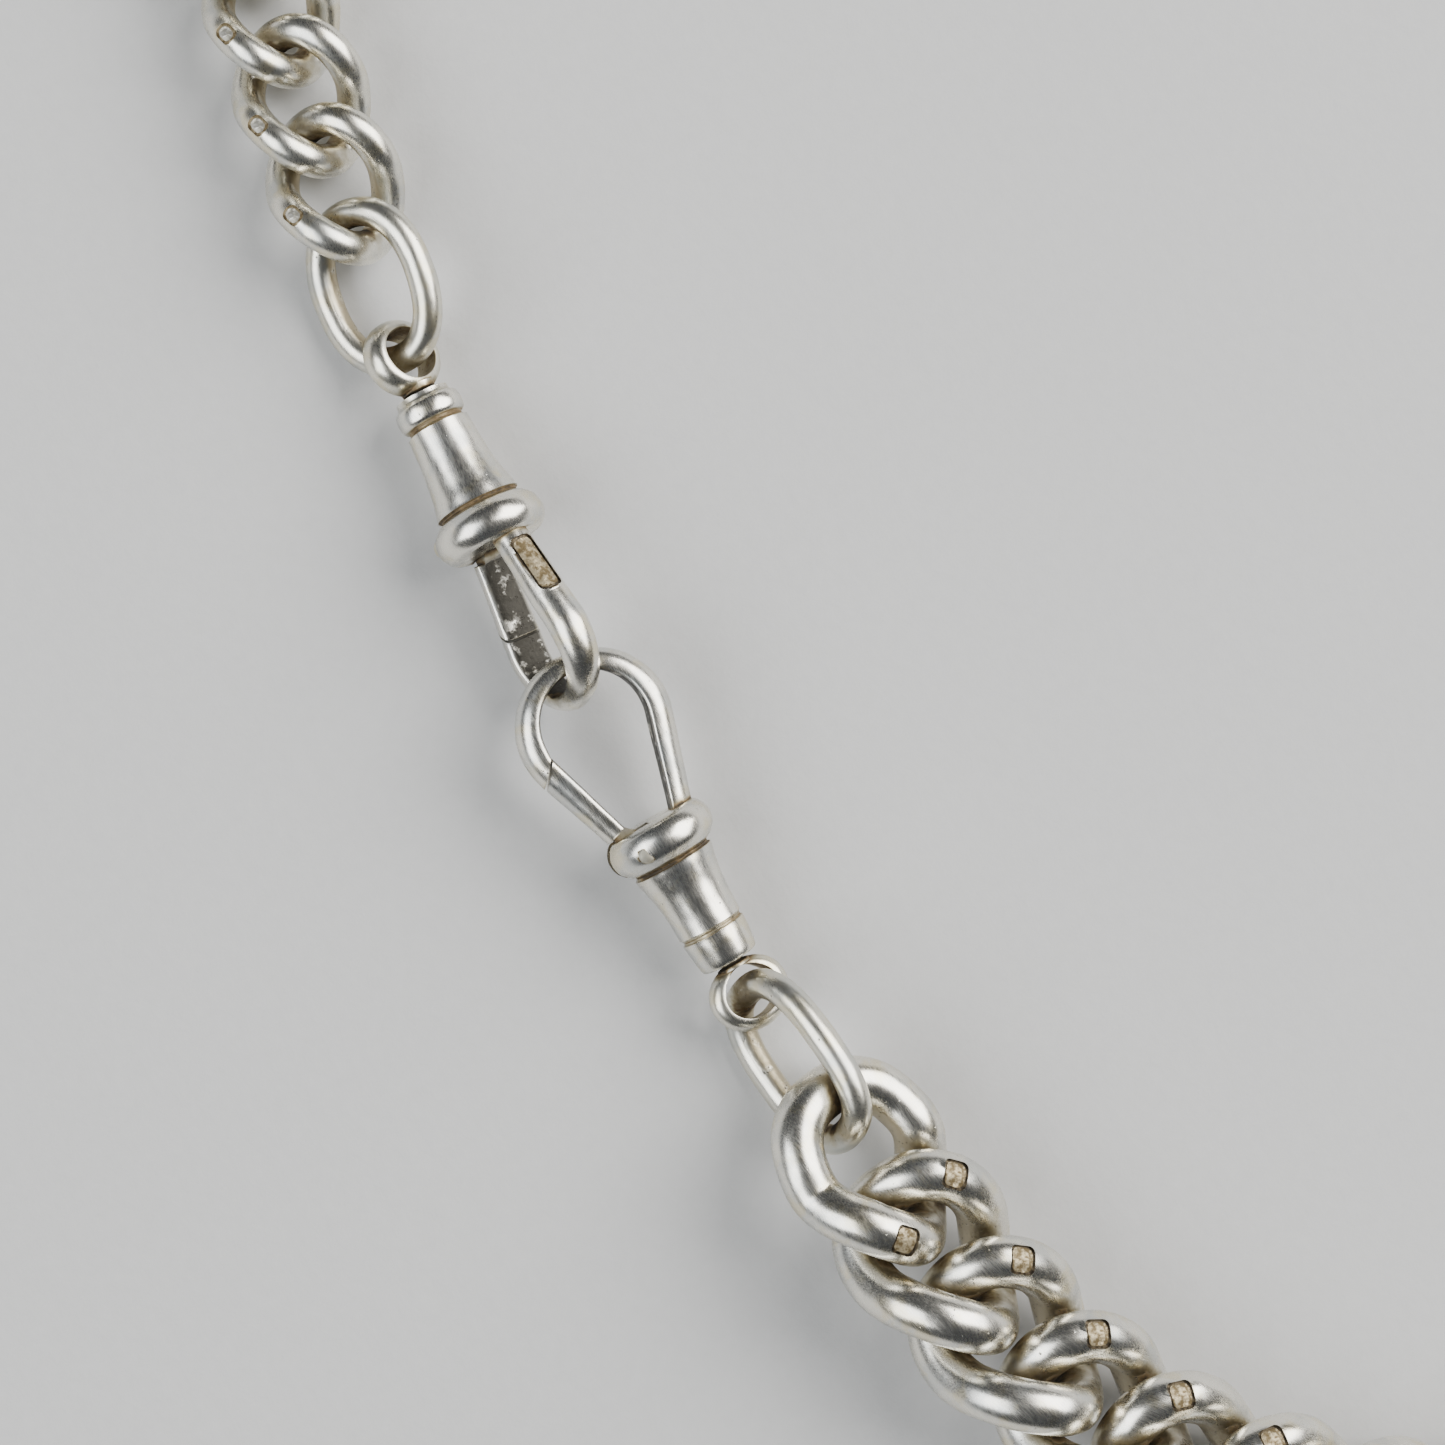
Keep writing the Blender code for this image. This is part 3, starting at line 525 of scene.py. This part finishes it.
def struck(mesh, size, place, finishes, floor, pad):
    """mesh with a punch struck into it. floor and pad, the same shape inset, are as deep as the punch's
    outline and as its middle."""
    edge, ground = finishes
    mesh.materials.append(None)
    blocks = punch_block(size, place), punch_block([side - 2 * OUTLINE for side in size], place)
    # the walls and floor of the outline take the darker finish, painted shade in the recess
    for part, finish in zip((*blocks, floor, pad), (edge, edge, edge, ground)):
        part.materials.append(finish)
    mesh = combined(mesh, combined(blocks[0], floor, "DIFFERENCE"), "DIFFERENCE")
    return combined(mesh, combined(blocks[1], pad, "INTERSECT"), "UNION")


def facing_frame(point, facing, along):
    """A frame at point, its z facing out and its x as near along as it can be. Millimetres."""
    z = facing.normalized()
    x = (along - z * along.dot(z)).normalized()
    turn = Matrix((x, z.cross(x), z)).transposed().to_4x4()
    return Matrix.Translation(point * MM) @ turn


def punched_link(name, link, punch):
    line = link_line(link)
    lobe = [i for i in range(LINK_STEPS) if line[i].y * punch.lobe > 0]
    index = min(lobe, key=lambda i: abs(line[i].x - punch.at))
    along = line[(index + 1) % LINK_STEPS] - line[index - 1]
    normal = Vector(punch.facing)
    normal -= along * (normal.dot(along) / along.length_squared)
    surface = line[index] + normal.normalized() * link.wire_radius
    place = facing_frame(surface, normal, along)
    insets = [link_mesh("inset", link, depth) for depth in punch.depths]
    return struck(link_mesh(name, link), punch.size, place, punch.finishes, *insets)


def smooth_run(run):
    """A run of profile points with a curve through them."""
    if len(run) < 3:
        return [Vector(point) for point in run]
    points = [Vector(point) for point in run]
    ends = [points[0] * 2 - points[1], *points, points[-1] * 2 - points[-2]]
    made = []
    for i in range(len(points) - 1):
        a, b, c, d = ends[i : i + 4]
        bend = a * 2 - b * 5 + c * 4 - d
        twist = b * 3 - a - c * 3 + d
        for step in range(RUN_STEPS):
            t = step / RUN_STEPS
            made.append((b * 2 + (c - a) * t + bend * t**2 + twist * t**3) / 2)
    return [*made, points[-1]]


def turned(name, profile):
    """The profile, (along x, radius) pairs from axis to axis, turned about x."""
    shape = bmesh.new()
    poles = [shape.verts.new((profile[i][0] * MM, 0, 0)) for i in (0, -1)]
    turns = [2 * math.pi * i / TURNED_STEPS for i in range(TURNED_STEPS)]
    rows = [
        [shape.verts.new((x * MM, r * MM * math.cos(turn), r * MM * math.sin(turn))) for turn in turns]
        for x, r in profile[1:-1]
    ]
    for near, far in zip(rows, rows[1:]):
        for i in range(TURNED_STEPS):
            after = (i + 1) % TURNED_STEPS
            shape.faces.new((near[i], near[after], far[after], far[i]))
    for pole, row in zip(poles, (rows[0], rows[-1])):
        for i in range(TURNED_STEPS):
            shape.faces.new((pole, row[i], row[(i + 1) % TURNED_STEPS]))
    bmesh.ops.recalc_face_normals(shape, faces=shape.faces)
    mesh = bpy.data.meshes.new(name)
    shape.to_mesh(mesh)
    shape.free()
    return smooth(mesh, TURNED_CREASE)


def box(low, high):
    shape = bmesh.new()
    size = Vector(high) - Vector(low)
    grow = Matrix.Translation((Vector(high) + Vector(low)) / 2 * MM) @ Matrix.Diagonal((*(size * MM), 1.0))
    bmesh.ops.create_cube(shape, size=1.0, matrix=grow)
    mesh = bpy.data.meshes.new("box")
    shape.to_mesh(mesh)
    shape.free()
    return mesh


def band_ring(centre, outward, across, thick, wide, lean=Vector(), rim=LIMB_RIM):
    """A D: half round on the outside, flat with eased corners on the inside."""
    ring = []
    for side in range(BAND_SIDES):
        turn = 2 * math.pi * side / BAND_SIDES
        out, along = math.cos(turn), math.sin(turn)
        if out >= 0:
            height, reach = rim - 0.5 + (1 - rim) * out, 0.5 * along
        else:
            height, reach = rim - 0.5 + rim * signed_power(out, HOLLOW), 0.5 * signed_power(along, HOLLOW)
        ring.append(centre + (outward + lean) * (height * thick) + across * (reach * wide))
    return ring


def blend_three(values, share):
    first, middle, last = values
    low, high, part = (first, middle, share * 2) if share < 0.5 else (middle, last, share * 2 - 1)
    return low + (high - low) * part * part * (3 - 2 * part)


class LoopLine:
    """The centre line of a clip's loop. A station is the distance along it from the bulb, hook side."""

    def __init__(self, clip):
        self.centre, self.radius = clip.loop_centre, clip.loop_radius
        reach = math.hypot(self.centre, LOOP_BASE_HALF)
        self.lean = math.asin(self.radius / reach) - math.atan2(LOOP_BASE_HALF, self.centre)
        self.limb = math.sqrt(reach**2 - self.radius**2)
        self.length = 2 * self.limb + self.radius * (math.pi + 2 * self.lean)
        self.scarf = self.gate_station(clip.scarf_at)

    def at(self, station):
        mirrored = station > self.length / 2
        s = self.length - station if mirrored else station
        if s < self.limb:
            along = Vector((math.cos(self.lean), math.sin(self.lean), 0))
            point = Vector((0, LOOP_BASE_HALF, 0)) + along * s
        else:
            turn = math.pi / 2 + self.lean - (s - self.limb) / self.radius
            point = Vector((self.centre + self.radius * math.cos(turn), self.radius * math.sin(turn), 0))
            along = Vector((math.sin(turn), -math.cos(turn), 0))
        outward = Vector((-along.y, along.x, 0))
        if mirrored:
            point.y = -point.y
            along = Vector((-along.x, along.y, 0))
            outward.y = -outward.y
        return point, along, outward

    def ring(self, station, grow=0.0, slope=0.0):
        point, along, outward = self.at(station)
        share = min(max(1 - abs(station / self.length * 2 - 1), 0.0), 1.0)
        thick = (blend_three(LIMB_THICK, share) + grow) * BAND_FIT
        wide = (blend_three(LIMB_WIDE, share) + grow) * BAND_FIT
        return band_ring(point, outward, Vector((0, 0, 1)), thick, wide, along * slope)

    def gate_station(self, distance):
        return self.length - distance / math.cos(self.lean)


def band(name, line, start, end, start_slope=0.0, end_slope=0.0, grow=0.0):
    """The loop's band between two stations. A sloped end eases into its slope."""
    rings = []
    for i in range(BAND_STEPS + 1):
        station = start + (end - start) * i / BAND_STEPS
        slope = start_slope * max(0.0, 1 - (station - start) / SLOPE_RUN)
        slope += end_slope * max(0.0, 1 - (end - station) / SLOPE_RUN)
        rings.append(line.ring(station, grow, slope))
    return skin(name, rings)


# ---------------------------------------------------------------- placing pieces

BODY_OF = {node: body for body, nodes in frame["record"]["behaviour"]["bodies"].items() for node in nodes}
SLOT_OF = {part["node"]: part["material_slot"] for part in frame["record"]["subparts"]}
JOINTS = {joint["child"]: joint for joint in frame["joints"]}
PIECES = []
SPINES = []


def dented(mesh, seed):
    """Moves the surface in a little, here more than there, as handling does."""
    shift = DENT_SHIFT * seed
    normals = [vertex.normal.copy() for vertex in mesh.vertices]
    for vertex, normal in zip(mesh.vertices, normals):
        soft = noise.noise(vertex.co / (DENT_SIZE * MM) + shift)
        fine = noise.noise(vertex.co / (FINE_DENT_SIZE * MM) + shift)
        vertex.co += normal * (soft + FINE_DENT_SHARE * fine - DENT_LEVEL) * DENT_DEPTH * MM


def piece(node, mesh, matrix, spine=None):
    """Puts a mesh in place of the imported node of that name. spine is the stretch of its x axis that
    its inner faces look at, for a piece that goes round a hole."""
    made = bpy.data.objects.new(node + "_piece", mesh)
    bpy.context.scene.collection.objects.link(made)
    made.matrix_world = matrix
    metal = METALS[SLOT_OF[node]]
    if mesh.materials:
        mesh.materials[0] = metal
    else:
        mesh.materials.append(metal)
    dented(mesh, len(PIECES))
    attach(made, BODY_OF[node])
    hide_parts(node)
    PIECES.append(made)
    SPINES.append(spine)


def pivot(body):
    return Vector(JOINTS[body]["pos_m"])


def link_frame(near, far, roll):
    """Midway between two joints, x from one to the other, then rolled about x."""
    x = (far - near).normalized()
    y = Vector((0, 0, 1)).cross(x).normalized()
    turn = Matrix((x, y, x.cross(y))).transposed().to_4x4()
    return Matrix.Translation((near + far) / 2) @ turn @ Matrix.Rotation(math.radians(roll), 4, "X")


def numbered(stem, count):
    return [f"{stem}_{i + 1:02d}" for i in range(count)]


def strand(nodes, meshes, rolls, end):
    """Lays pieces from joint to joint; end is the far joint of the last."""
    joints = [pivot(BODY_OF[node]) for node in nodes] + [end]
    for node, mesh, roll, near, far in zip(nodes, meshes, rolls, joints, joints[1:]):
        piece(node, mesh, link_frame(near, far, roll), (-LINK_SPINE, LINK_SPINE))


def copies(mesh, count):
    return [mesh.copy() for _ in range(count)]


# ---------------------------------------------------------------- the clips


def make_barrel(node, clip, matrix):
    outer = [point for run in clip.runs for point in smooth_run(run)]
    back = outer[-1].x
    inside = [
        (back, BORE_RADIUS), (back - NECK_LENGTH, BORE_RADIUS), (back - NECK_LENGTH, CAVITY_RADIUS),
        (CAVITY_FRONT, CAVITY_RADIUS), (CAVITY_FRONT, 0.0),
    ]
    shell = turned(node, [(-x, r) for x, r in [*map(tuple, outer), *inside]])
    slot = box((-SLOT_DEPTH, -OUTSIDE, -SLOT_HALF_WIDTH), (1.0, -SLOT_FLOOR, SLOT_HALF_WIDTH))
    shell = combined(shell, slot, "DIFFERENCE")
    piece(node, shell, matrix)


def make_gate(node, line, matrix):
    limb = band("limb", line, line.scarf + SCARF_GAP, line.gate_station(GATE_ROOT), SCARF_SLOPE)
    sides = (-TONGUE_HALF_WIDTH, TONGUE_HALF_WIDTH)
    rings = [[Vector((x, y, side)) for x, y in TONGUE_OUTLINE] for side in sides]
    gate = combined(limb, skin("tongue", rings), "UNION")
    piece(node, gate, matrix, (LOOP_SPINE, line.centre))


def make_pin(node, matrix):
    """A drawn pin, its ends slightly domed where they were peened."""
    end = [(PIN_HALF_LENGTH - x, r) for x, r in PIN_DOME]
    profile = end + [(-x, r) for x, r in reversed(end)]
    across = Matrix.Translation(Vector((*PIN_AT, 0)) * MM) @ Matrix.Rotation(-math.pi / 2, 4, "Y")
    piece(node, turned(node, profile), matrix @ across)


def make_swivel_ring(node, clip, matrix):
    rings = []
    for i in range(BAND_STEPS):
        turn = 2 * math.pi * i / BAND_STEPS
        outward = Vector((math.cos(turn) * clip.ring_half_width, math.sin(turn) * clip.ring_half_length, 0))
        centre = Vector((math.cos(turn) * clip.ring_half_length, math.sin(turn) * clip.ring_half_width, 0))
        thick = RING_THICK * BAND_FIT * (1 - (1 - clip.ring_neck) * max(0.0, math.cos(turn)) ** 4)
        wide = clip.ring_band_width * BAND_FIT
        ring = band_ring(centre, outward.normalized(), Vector((0, 0, 1)), thick, wide, rim=RING_RIM)
        rings.append(ring)
    ring_mesh = skin(node, rings, closed=True)
    wall = RING_THICK * clip.ring_neck / 2
    head = clip.ring_half_length + wall + NECK_LENGTH + 2 * RING_STANDOFF + STEM_HEAD_LENGTH
    neck = head - STEM_HEAD_LENGTH
    start = clip.ring_half_length - RING_STANDOFF
    stem = turned("stem", [
        (head, 0.0), (head, STEM_HEAD_RADIUS), (neck, STEM_HEAD_RADIUS), (neck, STEM_RADIUS),
        (start + wall + STEM_FILLET, STEM_RADIUS), (start + wall, STEM_RADIUS * STEM_FLARE[0]),
        (start, STEM_RADIUS * STEM_FLARE[1]), (start, 0.0),
    ])
    piece(node, combined(ring_mesh, stem, "UNION"), matrix, (0.0, 0.0))


def make_clip(stem, clip, gate_body, ring_body):
    """Every piece of a clip. Its frame comes from the ring's joint, along x, and the gate's, along z."""
    x = Vector(JOINTS[ring_body]["axis"])
    z = Vector(JOINTS[gate_body]["axis"])
    turn = Matrix((x, z.cross(x), z)).transposed()
    matrix = Matrix.Translation(pivot(gate_body) - turn @ Vector((*PIN_AT, 0)) * MM) @ turn.to_4x4()
    line = LoopLine(clip)
    make_barrel(stem + "_barrel", clip, matrix)
    hook = band(stem + "_hook", line, -TENON_DEPTH, line.scarf, end_slope=SCARF_SLOPE)
    if stem == "upper_clip":
        hook = maker_punched(hook, line)
    piece(stem + "_hook", hook, matrix, (LOOP_SPINE, line.centre))
    make_gate(stem + "_gate", line, matrix)
    make_pin(stem + "_gate_pin", matrix)
    spin = Matrix.Rotation(math.radians(clip.ring_roll), 4, "X")
    make_swivel_ring(stem + "_swivel_ring", clip, Matrix.Translation(pivot(ring_body)) @ turn.to_4x4() @ spin)
    metal = METALS[SLOT_OF[stem + "_gate_spring"]]
    for slot in frame["nodes"][stem + "_gate_spring"].material_slots:
        slot.material = metal


def maker_punched(hook, line):
    """A long blank punch on the outside of the hook, near the bulb."""
    station = (MAKER_PUNCH_FROM_BULB + MAKER_PUNCH[0] / 2) / math.cos(line.lean)
    point, along, outward = line.at(station)
    thick = blend_three(LIMB_THICK, station / line.length * 2)
    place = facing_frame(point + outward * thick * 0.5, outward, along)
    insets = [band("inset", line, -TENON_DEPTH, line.length / 2, grow=-2 * depth) for depth in DEEP]
    return struck(hook, MAKER_PUNCH, place, DARK, *insets)


# ---------------------------------------------------------------- the T-bar


def make_t_bar():
    mount = frame["record"]["mounts"][0]
    along = Vector(mount["axis"])
    middle = Vector(mount["pos_m"]) - along * BAR_HALF * MM
    hang = pivot(BODY_OF["t_bar"])
    towards = hang - middle
    towards -= along * towards.dot(along)
    towards.z = 0.0
    towards.normalize()
    up = along.cross(towards)
    turn = Matrix((along, towards, up)).transposed().to_4x4()
    place = Matrix.Translation(middle) @ turn
    half = [tuple(point) for run in BAR_RUNS for point in smooth_run(run)]
    profile = [(x - BAR_HALF, r) for x, r in half]
    profile += [(-x, r) for x, r in reversed(profile[:-1])]
    bar = turned("t_bar", profile)
    eye = link_mesh("eye", BAR_EYE)
    lift = (place.inverted() @ hang).z
    eye.transform(Matrix.Translation((0, EYE_FROM_BAR * MM, lift)) @ Matrix.Rotation(math.pi / 2, 4, "Y"))
    piece("t_bar", combined(bar, eye, "UNION"), place)


# ---------------------------------------------------------------- the whole chain

make_clip("lower_clip", LOWER_CLIP, "lower_gate", "lower_swivel")
make_clip("upper_clip", UPPER_CLIP, "upper_gate", "upper_swivel")

heavy = punched_link("heavy_link", HEAVY_CURB, HEAVY_PUNCH)
first_heavy = punched_link("first_heavy_link", HEAVY_END_CURB, FIRST_HEAVY_PUNCH)
heavy_nodes = ["heavy_oval_link", *numbered("heavy_link", HEAVY_LINKS), "t_bar_jump_ring"]
heavy_meshes = [
    link_mesh("heavy_oval", HEAVY_OVAL),
    first_heavy,
    *copies(heavy, HEAVY_LINKS - 1),
    link_mesh("jump_ring", JUMP_RING),
]
heavy_rolls = (HEAVY_OVAL_ROLL, *HEAVY_ROLLS, JUMP_RING_ROLL)
strand(heavy_nodes, heavy_meshes, heavy_rolls, pivot(BODY_OF["t_bar"]))

light = punched_link("light_link", LIGHT_CURB, LIGHT_PUNCH)
light_nodes = ["light_oval_link", *numbered("light_link", LIGHT_LINKS), "end_ring"]
light_meshes = [
    link_mesh("light_oval", LIGHT_OVAL),
    *copies(light, LIGHT_LINKS),
    link_mesh("end_ring", END_RING),
]
light_rolls = (LIGHT_OVAL_ROLL, *[LIGHT_ROLL] * LIGHT_LINKS, END_RING_ROLL)
low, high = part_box("end_ring")
strand(light_nodes, light_meshes, light_rolls, low + high - pivot(BODY_OF["end_ring"]))

make_t_bar()


def add_shelter():
    """Writes how closed in each point is by the surfaces round it, 0 to 1, for the tarnish and the painted shade
    to gather in.
    """
    points, faces = [], []
    for made in PIECES:
        start = len(points)
        points += [made.matrix_world @ vertex.co for vertex in made.data.vertices]
        faces += [tuple(start + i for i in face.vertices) for face in made.data.polygons]
    tree = BVHTree.FromPolygons(points, faces)
    golden = math.pi * (3 - math.sqrt(5))
    rays = []
    for i in range(SHELTER_RAYS):
        z = (i + 0.5) / SHELTER_RAYS
        flat = math.sqrt(1 - z * z)
        rays.append(Vector((flat * math.cos(golden * i), flat * math.sin(golden * i), z)))
    reach = SHELTER_REACH * MM
    for made, spine in zip(PIECES, SPINES):
        turn = made.matrix_world.to_3x3()
        shade = made.data.attributes.new("shelter", "FLOAT", "POINT")
        # how squarely a face looks into its hole, for the painted shade there
        inside = made.data.attributes.new("inside", "FLOAT", "POINT")
        for vertex in made.data.vertices:
            if spine:
                middle = Vector((min(max(vertex.co.x, spine[0] * MM), spine[1] * MM), 0, 0))
                inward = (middle - vertex.co).normalized()
                share = (vertex.normal.dot(inward) - INSIDE_START) * INSIDE_GAIN
                inside.data[vertex.index].value = min(max(share, 0.0), 1.0)
            normal = turn @ vertex.normal
            start = made.matrix_world @ vertex.co + normal * RAY_LIFT * MM
            around = normal.to_track_quat("Z", "Y").to_matrix()
            total = 0.0
            for ray in rays:
                distance = tree.ray_cast(start, around @ ray, reach)[3]
                if distance is not None:
                    total += 1 - distance / reach
            shade.data[vertex.index].value = min(1.0, SHELTER_GAIN * total / SHELTER_RAYS)


bpy.context.view_layer.update()
add_shelter()

# ---------------------------------------------------------------- floor, light and camera

CAMERA_AIM = pivot("upper_clip") + Vector((4.24, 7.73, -0.8)) * MM
CAMERA_RIGHT = Vector((0.505, 0.863, 0.0))
CAMERA_LEAN = 7.0
CAMERA_DISTANCE = 280.0
FIELD = 98.3  # millimetres across the frame at the object
SENSOR = 36.0
FLOOR_HALF = 0.8  # metres
LIGHT_DISTANCE = 0.9  # metres


def add_floor():
    shape = bmesh.new()
    bmesh.ops.create_grid(shape, x_segments=1, y_segments=1, size=FLOOR_HALF)
    mesh = bpy.data.meshes.new("floor")
    shape.to_mesh(mesh)
    shape.free()
    mesh.materials.append(pale_floor("pale_floor"))
    floor = bpy.data.objects.new("floor", mesh)
    bpy.context.scene.collection.objects.link(floor)


def look(back):
    """A rotation whose -Z looks against back and whose X is as near the camera's right as it can be."""
    z = back.normalized()
    y = z.cross(CAMERA_RIGHT).normalized()
    return Matrix((y.cross(z), y, z)).transposed()


def add_camera():
    camera = bpy.data.objects.new("camera", bpy.data.cameras.new("camera"))
    bpy.context.scene.collection.objects.link(camera)
    lean = math.radians(CAMERA_LEAN)
    back = Vector((0, -math.sin(lean), math.cos(lean)))
    camera.matrix_world = Matrix.Translation(CAMERA_AIM + back * CAMERA_DISTANCE * MM) @ look(back).to_4x4()
    camera.data.sensor_width = SENSOR
    camera.data.lens = SENSOR * CAMERA_DISTANCE / FIELD
    camera.data.clip_start = 0.01
    bpy.context.scene.camera = camera


def add_softbox(name, direction, size, power, colour):
    """An area light facing the chain's middle. Its direction is in the camera's right, up and back, its
    size in metres and its power in watts."""
    light = bpy.data.lights.new(name, "AREA")
    light.shape = "RECTANGLE"
    light.size, light.size_y = size
    light.energy = power
    light.color = colour
    made = bpy.data.objects.new(name, light)
    bpy.context.scene.collection.objects.link(made)
    towards = (look(Vector((0, 0, 1))) @ Vector(direction)).normalized()
    made.matrix_world = Matrix.Translation(CAMERA_AIM + towards * LIGHT_DISTANCE) @ look(towards).to_4x4()


def add_world():
    world = bpy.data.worlds.new("studio")
    world.use_nodes = True
    world.node_tree.nodes["Background"].inputs["Color"].default_value = (0.05, 0.054, 0.06, 1.0)
    world.node_tree.nodes["Background"].inputs["Strength"].default_value = 1.0
    bpy.context.scene.world = world


add_floor()
add_camera()
add_world()
add_softbox("key", (0.75, 0.45, 0.80), (0.8, 0.8), 15.0, (1.0, 0.985, 0.96))
add_softbox("fill", (-0.80, -0.25, 0.75), (0.6, 0.8), 8.0, (0.95, 0.975, 1.0))
